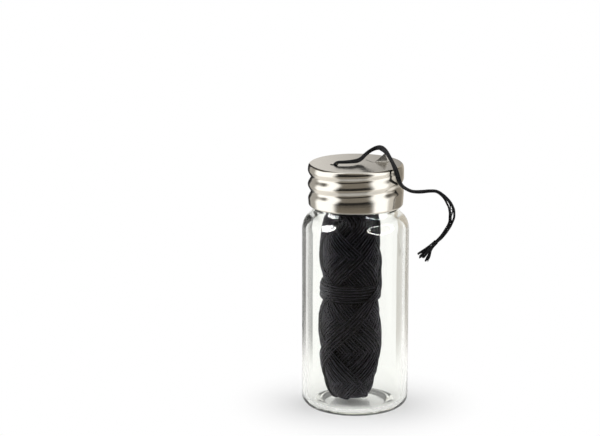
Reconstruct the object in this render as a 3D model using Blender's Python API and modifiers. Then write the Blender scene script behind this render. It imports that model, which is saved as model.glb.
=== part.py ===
"""Dental floss dispenser: a glass screw-neck vial with a pressed metal cap.

The cap has a rolled thread, a small hole that the floss comes out of, and a
serrated cutting tongue lanced out of its top. A cross-wound spool of dark
floss stands loose inside the vial, with a band of turns round its waist. One
strand rises from the spool, through the hole and out over the cap.

Metres, +Z up. The vial's axis is the Z axis and it stands on the XY plane.
The front, as it is usually seen, faces -Y.
"""

import math

import bmesh
import bpy
import numpy as np
from mathutils import Matrix, Vector

# Glass vial
BODY_RADIUS = 0.0110
VIAL_HEIGHT = 0.04935
GLASS_WALL = 0.0012
FLOOR_THICKNESS = 0.0011
FLOOR_CORNER_RADIUS = 0.0013
FOOT_CORNER_RADIUS = 0.0021
PUSH_UP_RADIUS = 0.0066
PUSH_UP_RISE = 0.0005
SHOULDER_RISE = 0.0037
SHOULDER_SWEEP_DEG = 60.0
SHOULDER_STEPS = 4
NECK_FILLET_RISE = 0.00126
NECK_RADIUS = 0.0085
NECK_LENGTH = 0.00835
LIP_RADIUS = 0.0005
VIAL_SEGMENTS = 48
INSIDE_DROP_SHARE = 0.7

# Hollow under the vial: shares of the push-up's radius and of its rise
PUSH_UP_SHARES = ((1.0, 0.0), (0.86, 0.75), (0.60, 1.0), (0.0, 1.0))

# Screw thread, shared by the glass bead and the groove rolled into the cap
THREAD_PITCH = 0.0030
BEAD_RADIUS = 0.00055
BEAD_TURNS = 1.17
BEAD_START_DEG = -90.0
BEAD_TAPER_POINTS = 3
BEAD_TIP_SHARE = 0.3
GROOVE_DEPTH = 0.00055
VALLEY_RADIUS = 0.00035
GROOVE_TURNS = 1.74
GROOVE_START_DEG = 90.0
GROOVE_START_RISE = 0.00225
GROOVE_FADE_DEG = 55.0
THREAD_CLEARANCE = 0.00045

# Cap, pressed from one sheet
SHEET_THICKNESS = 0.00035
CAP_CORNER_RADIUS = 0.00042
CROWN_HEIGHT = 0.0014
CROWN_TAPER = 0.00024
SKIRT_HEIGHT = 0.0038
SKIRT_TAPER = 0.00020
RIM_CURL_RADIUS = 0.0005
RIM_CLEARANCE = 0.0014
CAP_SEGMENTS = 40
CAP_SIDE_RINGS = 22
LID_RING_SHARE = 0.55

# Hole for the floss
HOLE_RADIUS = 0.0008
HOLE_X = -0.00445
HOLE_Y = -0.00165
HOLE_SEGMENTS = 20

# Cutting tongue: a toothed triangle bent up out of the cap's top
TONGUE_BASE = 0.0036
TONGUE_LENGTH = 0.0021
TONGUE_PEAK_SHARE = 0.74
TONGUE_SET_SHARE = 0.55
TONGUE_X = 0.00349
TONGUE_Y = 0.00055
TONGUE_TURN_DEG = 12.7
TONGUE_BEND_DEG = 76.0
TONGUE_TEETH = 9
TOOTH_DEPTH = 0.00009
SLIT_LENGTH = 0.0029
SLIT_WIDTH = 0.0002
SLIT_TURN_DEG = 118.8

# Sealing ring under the cap's top
LINER_THICKNESS = 0.0009
LINER_CLEARANCE = 0.0003
LINER_LIP = 0.0004

# Floss spool
SEAT_GAP = 0.0003
SPOOL_PASS_CLEARANCE = 0.0006
SPOOL_OFFSET = -0.0010
SPOOL_HEADROOM = 0.00575
STRAND_DIAMETER = 0.0007
WINDING_DIAMETER = 0.0009
LAYER_GAP = 0.00065
WINDING_SLOTS = 10
POINTS_A_TRAVERSE = 25
WOUND_FROM_SHARE = 0.048
WOUND_TO_SHARE = 0.935
CORE_FOOT_SHARE = 0.028
CORE_TO_SHARE = 0.925
ROUNDING_SHARE = 0.08
CORE_SEGMENTS = 28
TAIL_RISE = 0.0018
TAIL_STRAIGHT = 0.00135
TAIL_LEAN_SHARE = 0.9
TAIL_DROP_SHARE = 0.5
TAIL_STEPS = 9
SMOOTHING_SHARE = 0.03
BAND_LOOPS = 4
POINTS_A_LOOP = 24
BAND_MIDDLE_SHARE = 0.555
BAND_DIAMETER = 0.0006

# Outline of the spool: shares of its height, and of its radius there
OUTLINE_HEIGHT_SHARES = (
    0.0, 0.012, 0.038, 0.085, 0.156, 0.251, 0.329, 0.438, 0.500,
    0.555, 0.610, 0.701, 0.820, 0.884, 0.934, 0.974, 1.0,
)
OUTLINE_RADIUS_SHARES = (
    0.50, 0.60, 0.70, 0.79, 0.89, 0.95, 1.0, 0.96, 0.87,
    0.84, 0.87, 0.965, 0.93, 0.90, 0.84, 0.74, 0.56,
)

# Strand outside the cap, from below the hole to where it frays. Each point is
# x, y and its rise over the lid's top.
STRAND_ROUTE = (
    (-0.00460, -0.00162, -0.00120),
    (-0.00460, -0.00162, -0.00070),
    (-0.00443, -0.00165, -0.00007),
    (-0.00397, -0.00174, 0.00038),
    (-0.00354, -0.00183, 0.00053),
    (-0.00300, -0.00190, 0.00056),
    (-0.00210, -0.00190, 0.00058),
    (-0.00080, -0.00162, 0.00062),
    (0.00030, -0.00070, 0.00062),
    (0.00115, -0.00005, 0.00094),
    (0.00195, 0.00060, 0.00159),
    (0.00285, 0.00100, 0.00224),
    (0.00395, 0.00065, 0.00290),
    (0.00500, -0.00070, 0.00332),
    (0.00590, -0.00250, 0.00298),
    (0.00700, -0.00465, 0.00164),
    (0.00795, -0.00680, -0.00015),
    (0.00862, -0.00625, -0.00237),
    (0.00918, -0.00500, -0.00357),
    (0.01010, -0.00390, -0.00452),
    (0.01128, -0.00340, -0.00513),
    (0.01332, -0.00300, -0.00532),
    (0.01500, -0.00300, -0.00520),
    (0.01640, -0.00300, -0.00530),
    (0.01771, -0.00300, -0.00615),
    (0.01874, -0.00300, -0.00736),
    (0.01943, -0.00300, -0.00874),
    (0.01962, -0.00300, -0.01013),
    (0.01932, -0.00300, -0.01187),
    (0.01848, -0.00300, -0.01345),
    (0.01750, -0.00300, -0.01484),
    (0.01632, -0.00300, -0.01598),
)
STRAND_STEP_DIAMETERS = 2.2

# Frayed end of the strand, fanned out in a plane that faces the front
FRAY_LENGTH = 0.0041
FRAY_WIDTH = 0.0024
FRAY_THICKNESS = 0.0005
FRAY_TURN_DEG = 229.0
FRAY_ENDS = 4
FRAY_NOTCH_SHARE = 0.45
FRAY_SIDE_SHARE = 0.88

# How far a cutter overruns what it cuts
OVERRUN = 0.0004

CAP_RADIUS = NECK_RADIUS + BEAD_RADIUS + THREAD_CLEARANCE + SHEET_THICKNESS
NECK_BORE = NECK_RADIUS - GLASS_WALL
NECK_FOOT_Z = VIAL_HEIGHT - NECK_LENGTH
SHOULDER_Z = NECK_FOOT_Z - SHOULDER_RISE
RIM_Z = NECK_FOOT_Z + RIM_CLEARANCE
LINER_Z = VIAL_HEIGHT + SEAT_GAP
LID_UNDER_Z = LINER_Z + LINER_THICKNESS + SEAT_GAP
LID_TOP_Z = LID_UNDER_Z + SHEET_THICKNESS
SPOOL_RADIUS = NECK_BORE - SPOOL_PASS_CLEARANCE
SPOOL_BASE_Z = FLOOR_THICKNESS + SEAT_GAP
SPOOL_TOP_Z = VIAL_HEIGHT - SPOOL_HEADROOM
SPOOL_HEIGHT = SPOOL_TOP_Z - SPOOL_BASE_Z
OUTER_DEPTH = WINDING_DIAMETER / 2
INNER_DEPTH = OUTER_DEPTH + WINDING_DIAMETER + LAYER_GAP
CORE_DEPTH = INNER_DEPTH + WINDING_DIAMETER / 2 + SEAT_GAP


def clear_scene():
    for thing in list(bpy.data.objects):
        bpy.data.objects.remove(thing, do_unlink=True)


def make_collection(name):
    collection = bpy.data.collections.new(name)
    bpy.context.scene.collection.children.link(collection)
    return collection


def make_material(name, colour, roughness, metallic, transmission=0.0):
    material = bpy.data.materials.new(name)
    material.use_nodes = True
    shader = material.node_tree.nodes["Principled BSDF"]
    shader.inputs["Base Color"].default_value = (*colour, 1.0)
    shader.inputs["Roughness"].default_value = roughness
    shader.inputs["Metallic"].default_value = metallic
    shader.inputs["Transmission Weight"].default_value = transmission
    return material


def add_object(name, data, collection, material=None):
    thing = bpy.data.objects.new(name, data)
    collection.objects.link(thing)
    if material is not None:
        data.materials.append(material)
    return thing


def as_mesh(thing, weld=0.000001):
    """Replaces an object with the mesh that it evaluates to."""
    depsgraph = bpy.context.evaluated_depsgraph_get()
    mesh = bpy.data.meshes.new_from_object(thing.evaluated_get(depsgraph))
    bm = bmesh.new()
    bm.from_mesh(mesh)
    bmesh.ops.remove_doubles(bm, verts=bm.verts, dist=weld)
    bm.to_mesh(mesh)
    bm.free()
    name, collection = thing.name, thing.users_collection[0]
    matrix = thing.matrix_world.copy()
    bpy.data.objects.remove(thing, do_unlink=True)
    made = bpy.data.objects.new(name, mesh)
    collection.objects.link(made)
    made.matrix_world = matrix
    return made


def shade(thing, degrees=35.0):
    thing.data.shade_smooth()
    thing.data.set_sharp_from_angle(angle=math.radians(degrees))


def arc(centre_r, centre_z, radius, start_deg, end_deg, steps):
    """Points (r, z) along an arc of a profile, both ends included."""
    points = []
    for i in range(steps + 1):
        turn = math.radians(start_deg + (end_deg - start_deg) * i / steps)
        points.append((centre_r + radius * math.cos(turn), centre_z + radius * math.sin(turn)))
    return points


def turned(name, profile, segments, collection, material, closed=False):
    """A profile of (r, z) points spun round Z."""
    mesh = bpy.data.meshes.new(name)
    count = len(profile)
    edges = [(i, i + 1) for i in range(count - 1)]
    if closed:
        edges.append((count - 1, 0))
    mesh.from_pydata([(r, 0.0, z) for r, z in profile], edges, [])
    thing = add_object(name, mesh, collection, material)
    screw = thing.modifiers.new("Turn", "SCREW")
    screw.steps = segments
    screw.render_steps = segments
    screw.use_merge_vertices = True
    screw.merge_threshold = 0.000001
    return thing


def tube(name, points, diameter, resolution, collection, material, radii=None):
    """A round tube with filled ends along a list of points."""
    curve = bpy.data.curves.new(name, "CURVE")
    curve.dimensions = "3D"
    curve.bevel_depth = diameter / 2
    curve.bevel_resolution = resolution
    curve.use_fill_caps = True
    spline = curve.splines.new("POLY")
    spline.points.add(len(points) - 1)
    for i, point in enumerate(points):
        spline.points[i].co = (*point, 1.0)
        spline.points[i].radius = radii[i] if radii else 1.0
    return as_mesh(add_object(name, curve, collection, material))


def plate(name, outline, thickness, collection, material=None):
    """A flat outline of (x, y) points, given its thickness about z = 0."""
    curve = bpy.data.curves.new(name, "CURVE")
    curve.dimensions = "2D"
    curve.fill_mode = "BOTH"
    curve.extrude = thickness / 2
    spline = curve.splines.new("POLY")
    spline.points.add(len(outline) - 1)
    for i, (x, y) in enumerate(outline):
        spline.points[i].co = (x, y, 0.0, 1.0)
    spline.use_cyclic_u = True
    return as_mesh(add_object(name, curve, collection, material))


def combine(target, other, operation):
    boolean = target.modifiers.new(other.name, "BOOLEAN")
    boolean.operation = operation
    boolean.object = other
    boolean.solver = "EXACT"
    other.hide_render = True
    other.display_type = "WIRE"


def smooth_step(share):
    share = min(max(share, 0.0), 1.0)
    return share * share * (3.0 - 2.0 * share)


def through(points, samples=24):
    """A dense smooth curve through hand-placed points (centripetal form)."""
    pts = [Vector(p) for p in points]
    pts = [pts[0] * 2 - pts[1]] + pts + [pts[-1] * 2 - pts[-2]]
    dense = []
    for a, b, c, d in zip(pts, pts[1:], pts[2:], pts[3:]):
        t1 = (b - a).length ** 0.5
        t2 = t1 + (c - b).length ** 0.5
        t3 = t2 + (d - c).length ** 0.5
        for i in range(samples):
            t = t1 + (t2 - t1) * i / samples
            ab = a.lerp(b, t / t1)
            bc = b.lerp(c, (t - t1) / (t2 - t1))
            cd = c.lerp(d, (t - t2) / (t3 - t2))
            abc = ab.lerp(bc, t / t2)
            bcd = bc.lerp(cd, (t - t1) / (t3 - t1))
            dense.append(abc.lerp(bcd, (t - t1) / (t2 - t1)))
    dense.append(pts[-2])
    return dense


def evenly(points, step):
    """Points at about equal steps along a dense curve."""
    line = np.array(points)
    runs = np.linalg.norm(np.diff(line, axis=0), axis=1)
    along = np.concatenate([[0.0], np.cumsum(runs)])
    count = max(2, round(along[-1] / step) + 1)
    places = np.linspace(0.0, along[-1], count)
    return [tuple(np.interp(p, along, line[:, k]) for k in range(3)) for p in places]


def shoulder(neck_r, width, base_z, rise, fillet_z):
    """A glass shoulder from the body up to the neck, as (r, z) points."""
    points = []
    for i in range(SHOULDER_STEPS + 1):
        turn = math.radians(SHOULDER_SWEEP_DEG * i / SHOULDER_STEPS)
        points.append((neck_r + width * math.cos(turn), base_z + rise * math.sin(turn)))
    r, z = points[-1]
    bend = (neck_r, z + (r - neck_r) * rise * math.cos(turn) / (width * math.sin(turn)))
    top = (neck_r, fillet_z)
    for share in (1 / 3, 2 / 3, 1.0):
        back = 1.0 - share
        blend = [back * back * s + 2 * back * share * m + share * share * e
                 for s, m, e in zip((r, z), bend, top)]
        points.append(tuple(blend))
    return points


def vial_profile():
    bore = BODY_RADIUS - GLASS_WALL
    width = BODY_RADIUS - NECK_RADIUS
    fillet_z = NECK_FOOT_Z + NECK_FILLET_RISE
    drop = GLASS_WALL * INSIDE_DROP_SHARE
    inside = shoulder(NECK_BORE, width, SHOULDER_Z, SHOULDER_RISE - drop, fillet_z - drop)
    outside = shoulder(NECK_RADIUS, width, SHOULDER_Z, SHOULDER_RISE, fillet_z)
    lip_z = VIAL_HEIGHT - LIP_RADIUS
    profile = [(0.0, FLOOR_THICKNESS)]
    profile += arc(bore - FLOOR_CORNER_RADIUS, FLOOR_THICKNESS + FLOOR_CORNER_RADIUS,
                   FLOOR_CORNER_RADIUS, -90, 0, 4)
    profile += inside
    profile += arc(NECK_BORE + LIP_RADIUS, lip_z, LIP_RADIUS, 180, 90, 2)
    profile += arc(NECK_RADIUS - LIP_RADIUS, lip_z, LIP_RADIUS, 90, 0, 2)
    profile += outside[::-1]
    profile += arc(BODY_RADIUS - FOOT_CORNER_RADIUS, FOOT_CORNER_RADIUS,
                   FOOT_CORNER_RADIUS, 0, -90, 5)
    profile += [(PUSH_UP_RADIUS * r, PUSH_UP_RISE * rise) for r, rise in PUSH_UP_SHARES]
    return profile


def thread_z(degrees):
    """Height of the cap's groove at a turn round the axis."""
    return RIM_Z + GROOVE_START_RISE + THREAD_PITCH * (degrees - GROOVE_START_DEG) / 360


def build_vial(parts, tools, glass):
    vial = turned("glass_vial", vial_profile(), VIAL_SEGMENTS, parts, glass)
    steps = round(BEAD_TURNS * POINTS_A_LOOP)
    points, radii = [], []
    for i in range(steps + 1):
        degrees = BEAD_START_DEG + 360 * BEAD_TURNS * i / steps
        turn = math.radians(degrees)
        height = thread_z(degrees) + THREAD_PITCH / 2
        points.append((NECK_RADIUS * math.cos(turn), NECK_RADIUS * math.sin(turn), height))
        full = smooth_step(min(i, steps - i) / BEAD_TAPER_POINTS)
        radii.append(BEAD_TIP_SHARE + (1.0 - BEAD_TIP_SHARE) * full)
    bead = tube("thread_bead", points, BEAD_RADIUS * 2, 2, tools, None, radii)
    combine(vial, bead, "UNION")
    return vial


def crowned(r, z):
    """A radius of the cap, drawn in a little towards the lid and towards the rim."""
    top = max(0.0, 1.0 - (LID_TOP_Z - z) / CROWN_HEIGHT)
    low = max(0.0, 1.0 - (z - RIM_Z) / SKIRT_HEIGHT)
    return r * (1.0 - (CROWN_TAPER * top * top + SKIRT_TAPER * low * low) / CAP_RADIUS)


def cap_profile():
    """Outer face of the pressed cap from its centre down to the rolled rim."""
    profile = [(0.0, LID_TOP_Z), (CAP_RADIUS * LID_RING_SHARE, LID_TOP_Z)]
    profile += arc(CAP_RADIUS - CAP_CORNER_RADIUS, LID_TOP_Z - CAP_CORNER_RADIUS,
                   CAP_CORNER_RADIUS, 90, 0, 3)
    top_z, low_z = LID_TOP_Z - CAP_CORNER_RADIUS, RIM_Z + RIM_CURL_RADIUS
    for i in range(1, CAP_SIDE_RINGS):
        profile.append((CAP_RADIUS, top_z + (low_z - top_z) * i / CAP_SIDE_RINGS))
    profile += arc(CAP_RADIUS - RIM_CURL_RADIUS, low_z, RIM_CURL_RADIUS, 0, -90, 3)
    return [(crowned(r, z), z) for r, z in profile]


def groove_share(x, y, z):
    """How deep the rolled groove is at a point of the skirt, from 0 to 1."""
    deepest = 0.0
    around = math.degrees(math.atan2(y, x))
    last = GROOVE_START_DEG + 360 * GROOVE_TURNS
    for turn in range(-1, 4):
        degrees = around + 360 * turn
        inside = min(degrees - GROOVE_START_DEG, last - degrees)
        off = math.hypot(z - thread_z(degrees), VALLEY_RADIUS) - VALLEY_RADIUS
        off = off / (math.hypot(THREAD_PITCH / 2, VALLEY_RADIUS) - VALLEY_RADIUS)
        if inside > 0 and off < 1:
            fade = smooth_step(inside / GROOVE_FADE_DEG)
            deepest = max(deepest, (1.0 - math.sin(off * math.pi / 2)) * fade)
    return deepest


def tongue_outline(toothed):
    """The tongue laid flat: its bend line along X, its point towards +Y."""
    peak_x = TONGUE_BASE * TONGUE_PEAK_SHARE
    edge = Vector((peak_x, TONGUE_LENGTH))
    outward = Vector((-TONGUE_LENGTH, peak_x)).normalized()
    outline = [Vector((0.0, 0.0)), Vector((TONGUE_BASE, 0.0)), edge]
    if toothed:
        for i in reversed(range(1, 2 * TONGUE_TEETH)):
            out = TOOTH_DEPTH if i % 2 else 0.0
            outline.append(edge * (i / (2 * TONGUE_TEETH)) + outward * out)
    return [tuple(point) for point in outline]


def on_lid(turn_deg, bend_deg=0.0, forward=0.0):
    """Places a flat outline at the tongue's corner, turned, bent up and set forward."""
    middle_z = LID_UNDER_Z + SHEET_THICKNESS / 2
    base = Matrix.Translation((TONGUE_X, TONGUE_Y, middle_z))
    turn = Matrix.Rotation(math.radians(turn_deg), 4, "Z")
    step = Matrix.Translation((0.0, -forward, 0.0))
    bend = Matrix.Rotation(math.radians(bend_deg), 4, "X")
    return base @ turn @ step @ bend


def build_cap(parts, tools, steel):
    cap = as_mesh(turned("screw_cap", cap_profile(), CAP_SEGMENTS, parts, steel))
    for vertex in cap.data.vertices:
        x, y, z = vertex.co
        share = groove_share(x, y, z)
        if share and z < LID_TOP_Z - CAP_CORNER_RADIUS:
            scale = 1.0 - GROOVE_DEPTH * share / math.hypot(x, y)
            vertex.co = (x * scale, y * scale, z)
    shell = cap.modifiers.new("Sheet", "SOLIDIFY")
    shell.thickness = SHEET_THICKNESS
    shell.offset = -1.0
    shell.use_even_offset = True
    reach = SHEET_THICKNESS + 2 * OVERRUN
    window = plate("tongue_window", tongue_outline(False), reach, tools)
    window.matrix_world = on_lid(TONGUE_TURN_DEG)
    combine(cap, window, "DIFFERENCE")
    slit_outline = [(0.0, -SLIT_WIDTH / 2), (SLIT_LENGTH, -SLIT_WIDTH / 2),
                    (SLIT_LENGTH, SLIT_WIDTH / 2), (0.0, SLIT_WIDTH / 2)]
    slit = plate("tongue_slit", slit_outline, reach, tools)
    slit.matrix_world = on_lid(SLIT_TURN_DEG)
    combine(cap, slit, "DIFFERENCE")
    bpy.ops.mesh.primitive_cylinder_add(
        vertices=HOLE_SEGMENTS, radius=HOLE_RADIUS, depth=reach,
        location=(HOLE_X, HOLE_Y, LID_UNDER_Z + SHEET_THICKNESS / 2),
    )
    hole = bpy.context.object
    hole.name = "floss_hole"
    for owner in list(hole.users_collection):
        owner.objects.unlink(hole)
    tools.objects.link(hole)
    combine(cap, hole, "DIFFERENCE")
    tongue = plate("tongue", tongue_outline(True), SHEET_THICKNESS, tools)
    forward = SHEET_THICKNESS * TONGUE_SET_SHARE
    tongue.matrix_world = on_lid(TONGUE_TURN_DEG, TONGUE_BEND_DEG, forward)
    combine(cap, tongue, "UNION")
    return cap


def build_liner(parts, rubber):
    outer = CAP_RADIUS - SHEET_THICKNESS - GROOVE_DEPTH - LINER_CLEARANCE
    bore = NECK_BORE - LINER_LIP
    top = LINER_Z + LINER_THICKNESS
    profile = [(bore, LINER_Z), (bore, top), (outer, top), (outer, LINER_Z)]
    return turned("sealing_ring", profile, CAP_SEGMENTS, parts, rubber, closed=True)


def outline_point(share, depth):
    """A point (r, z) of the spool's outline, sunk below it by a depth."""
    def at(where):
        radius = np.interp(where, OUTLINE_HEIGHT_SHARES, OUTLINE_RADIUS_SHARES)
        return SPOOL_RADIUS * radius, SPOOL_HEIGHT * where
    around = np.linspace(-SMOOTHING_SHARE, SMOOTHING_SHARE, 13)
    places = [at(min(max(share + step, 0.0), 1.0)) for step in around]
    radius = sum(r for r, _ in places) / len(places)
    run_r = places[-1][0] - places[0][0]
    run_z = places[-1][1] - places[0][1]
    length = math.hypot(run_r, run_z)
    height = SPOOL_HEIGHT * share
    return radius - depth * run_z / length, height + depth * run_r / length


def winding_points():
    """Crossing traverses of the spool: up under, down over, one turn each."""
    traverses = 2 * WINDING_SLOTS - 1
    turn_a_traverse = 2 * math.pi * (1 + 1 / (2 * WINDING_SLOTS))
    total = traverses * POINTS_A_TRAVERSE
    points = []
    for i in range(2, total + 1):
        step = i / POINTS_A_TRAVERSE
        number = min(int(step), traverses - 1)
        share = step - number
        rise = rounded_ramp(share, number == traverses - 1)
        if number % 2:
            rise = 1.0 - rise
        height = WOUND_FROM_SHARE + (WOUND_TO_SHARE - WOUND_FROM_SHARE) * rise
        nearest = round(step)
        side = step - nearest
        layer = 0.5 + 0.5 * min(max(side * POINTS_A_TRAVERSE, -1.0), 1.0)
        if nearest in (0, traverses):
            over = 0.0
        elif nearest % 2:
            over = layer
        else:
            over = 1.0 - layer
        depth = INNER_DEPTH + (OUTER_DEPTH - INNER_DEPTH) * over
        radius, z = outline_point(height, depth)
        turn = turn_a_traverse * step
        points.append(Vector((radius * math.cos(turn), radius * math.sin(turn), z)))
    return points + winding_tail(points)


def rounded_ramp(share, open_end):
    """A steady climb from 0 to 1 that levels off, unless its end is open."""
    r = ROUNDING_SHARE
    slope = 1.0 / (1.0 - r)
    if share < r:
        return slope * share * share / (2 * r)
    if share > 1.0 - r and not open_end:
        return 1.0 - slope * (1.0 - share) ** 2 / (2 * r)
    return slope * (share - r / 2)


def winding_tail(points):
    """The last end, carried over the spool's top to a straight run upward."""
    start = points[-1]
    lean = (points[-1] - points[-2]).normalized()
    reach = start.xy.length
    end = Vector((0.0, 0.0, SPOOL_HEIGHT + TAIL_RISE))
    foot = end - Vector((0.0, 0.0, TAIL_STRAIGHT))
    below = foot - Vector((0.0, 0.0, reach * TAIL_DROP_SHARE))
    controls = (start, start + lean * reach * TAIL_LEAN_SHARE, below, foot)
    tail = []
    for i in range(1, TAIL_STEPS + 1):
        share = i / TAIL_STEPS
        back = 1.0 - share
        weights = (back ** 3, 3 * back * back * share, 3 * back * share * share, share ** 3)
        tail.append(sum((c * w for c, w in zip(controls, weights)), Vector()))
    return tail + [end]


def band_points():
    """Side-by-side turns round the waist, each a loop of one helix."""
    pitch = BAND_DIAMETER + LAYER_GAP
    steps = BAND_LOOPS * POINTS_A_LOOP
    radius = max(
        outline_point(BAND_MIDDLE_SHARE + pitch * BAND_LOOPS * side / 2 / SPOOL_HEIGHT, 0.0)[0]
        for side in (-1, 0, 1)
    ) + SEAT_GAP + BAND_DIAMETER / 2
    middle = SPOOL_HEIGHT * BAND_MIDDLE_SHARE
    points = []
    for i in range(steps + 1):
        turn = 2 * math.pi * i / POINTS_A_LOOP
        z = middle + pitch * (i / POINTS_A_LOOP - BAND_LOOPS / 2)
        points.append(Vector((radius * math.cos(turn), radius * math.sin(turn), z)))
    first = points[0] + (points[0] - points[1]).normalized() * BAND_DIAMETER
    last = points[-1] + (points[-1] - points[-2]).normalized() * BAND_DIAMETER
    return [first] + points + [last]


def least_gap(points, diameter):
    """Smallest clear distance of a wound tube to itself, on close points."""
    fine = []
    for a, b in zip(points, points[1:]):
        fine += [a.lerp(b, k / 6) for k in range(6)]
    line = np.array(fine)
    along = np.concatenate([[0.0], np.cumsum(np.linalg.norm(np.diff(line, axis=0), axis=1))])
    least = math.inf
    for i in range(len(line)):
        far = np.abs(along - along[i]) > 4 * diameter
        if far.any():
            least = min(least, np.linalg.norm(line[far] - line[i], axis=1).min())
    return least - diameter


def core_outline():
    """The packed inside: full width at its foot, sunk below the winding above."""
    top = SPOOL_HEIGHT * CORE_TO_SHARE
    profile = [(0.0, top), (outline_point(CORE_TO_SHARE, CORE_DEPTH)[0], top)]
    for share in OUTLINE_HEIGHT_SHARES[::-1]:
        if 2 * CORE_FOOT_SHARE < share < CORE_TO_SHARE:
            profile.append(outline_point(share, CORE_DEPTH))
    foot = SPOOL_HEIGHT * CORE_FOOT_SHARE
    waist = profile[-1][0] - CORE_DEPTH / 4
    profile += [(waist, foot), (outline_point(CORE_FOOT_SHARE, 0.0)[0], foot)]
    profile += [(outline_point(share, 0.0)[0], SPOOL_HEIGHT * share)
                for share in (CORE_FOOT_SHARE / 2, 0.0)]
    return profile + [(0.0, 0.0)]


def build_spool(parts, floss):
    core_profile = core_outline()
    core = turned("floss_core", core_profile, CORE_SEGMENTS, parts, floss)
    wound = winding_points()
    winding = tube("floss_winding", wound, WINDING_DIAMETER, 1, parts, floss)
    banded = band_points()
    band = tube("floss_waist_band", banded, BAND_DIAMETER, 1, parts, floss)
    print("least gap of the winding to itself, mm:", round(least_gap(wound, WINDING_DIAMETER) * 1000, 3))
    print("least gap of the band to itself, mm:", round(least_gap(banded, BAND_DIAMETER) * 1000, 3))
    for piece in (core, winding, band):
        piece.location = (SPOOL_OFFSET, 0.0, SPOOL_BASE_Z)
    return core, winding, band


def strand_route():
    return [Vector((x, y, LID_TOP_Z + rise)) for x, y, rise in STRAND_ROUTE]


def build_feed(parts, floss):
    """The strand inside the neck, from the spool's top to below the hole."""
    foot = Vector((SPOOL_OFFSET, 0.0, SPOOL_TOP_Z + TAIL_RISE + SEAT_GAP))
    head = strand_route()[0] - Vector((0.0, 0.0, SEAT_GAP))
    upright = Vector((0.0, 0.0, STRAND_DIAMETER))
    points = through([foot, foot + upright, head - upright, head])
    return tube("floss_feed_strand", evenly(points, STRAND_DIAMETER * STRAND_STEP_DIAMETERS / 2),
                STRAND_DIAMETER, 2, parts, floss)


def build_strand(parts, floss):
    points = evenly(through(strand_route()), STRAND_DIAMETER * STRAND_STEP_DIAMETERS)
    line = np.array(points)
    length = np.linalg.norm(np.diff(line, axis=0), axis=1).sum()
    print("length of the strand outside, mm:", round(length * 1000, 2))
    return tube("floss_strand", points, STRAND_DIAMETER, 2, parts, floss)


def build_fray(parts, floss):
    """The fanned end: fingers that spread from the strand's own width."""
    outline = [(0.0, -STRAND_DIAMETER / 2)]
    count = 2 * FRAY_ENDS
    for i in range(count + 1):
        side = 2.0 * i / count - 1.0
        reach = 1.0 if i % 2 else 1.0 - FRAY_NOTCH_SHARE
        if i in (0, count):
            reach = FRAY_SIDE_SHARE
        outline.append((FRAY_LENGTH * reach, FRAY_WIDTH / 2 * side * reach))
    outline.append((0.0, STRAND_DIAMETER / 2))
    fray = plate("floss_frayed_end", outline, FRAY_THICKNESS, parts, floss)
    before, end = strand_route()[-2:]
    start = end + (end - before).normalized() * SEAT_GAP
    upright = Matrix.Rotation(math.radians(90), 4, "X")
    turn = Matrix.Rotation(math.radians(FRAY_TURN_DEG), 4, "Z")
    fray.data.transform(Matrix.Translation(start) @ upright @ turn)
    return fray


def main():
    clear_scene()
    parts = make_collection("dental_floss_dispenser")
    tools = make_collection("cutters")
    glass = make_material("clear_glass", (0.93, 0.96, 0.94), 0.03, 0.0, transmission=1.0)
    steel = make_material("brushed_steel", (0.62, 0.60, 0.57), 0.25, 1.0)
    rubber = make_material("white_liner", (0.82, 0.82, 0.80), 0.60, 0.0)
    floss = make_material("charcoal_floss", (0.018, 0.018, 0.021), 0.55, 0.0)
    made = [build_vial(parts, tools, glass), build_cap(parts, tools, steel)]
    made.append(build_liner(parts, rubber))
    made += build_spool(parts, floss)
    made += [build_feed(parts, floss), build_strand(parts, floss), build_fray(parts, floss)]
    for thing in made:
        shade(thing)


main()
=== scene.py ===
"""Looks of the dental floss dispenser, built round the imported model.

Metres, +Z up, in the model's own frame. The front faces -Y.
"""

import math

import bpy
import numpy as np
from mathutils import Matrix, Vector


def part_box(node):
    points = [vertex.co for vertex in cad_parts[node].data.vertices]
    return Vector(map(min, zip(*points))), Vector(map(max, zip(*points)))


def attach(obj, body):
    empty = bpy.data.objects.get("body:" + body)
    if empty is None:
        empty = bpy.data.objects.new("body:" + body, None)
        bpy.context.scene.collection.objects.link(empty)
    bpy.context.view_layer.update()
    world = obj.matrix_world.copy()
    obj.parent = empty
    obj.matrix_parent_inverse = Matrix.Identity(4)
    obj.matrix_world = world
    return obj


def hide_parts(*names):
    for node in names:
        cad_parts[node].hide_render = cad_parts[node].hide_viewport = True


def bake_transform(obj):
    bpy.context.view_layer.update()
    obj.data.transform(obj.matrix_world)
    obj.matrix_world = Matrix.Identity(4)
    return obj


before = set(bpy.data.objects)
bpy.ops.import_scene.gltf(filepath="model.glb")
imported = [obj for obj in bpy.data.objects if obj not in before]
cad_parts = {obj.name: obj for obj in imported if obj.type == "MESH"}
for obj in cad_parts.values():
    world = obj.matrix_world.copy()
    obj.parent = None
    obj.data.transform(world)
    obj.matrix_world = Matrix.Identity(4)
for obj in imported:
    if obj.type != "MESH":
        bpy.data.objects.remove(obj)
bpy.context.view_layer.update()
random = np.random.default_rng(7)
MM = 0.001

# Camera, fitted to the photo
CAMERA_LENS = 150.0
CAMERA_PLACE = (-0.01142, -0.49929, 0.15918)
CAMERA_TILT = 0.235

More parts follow.
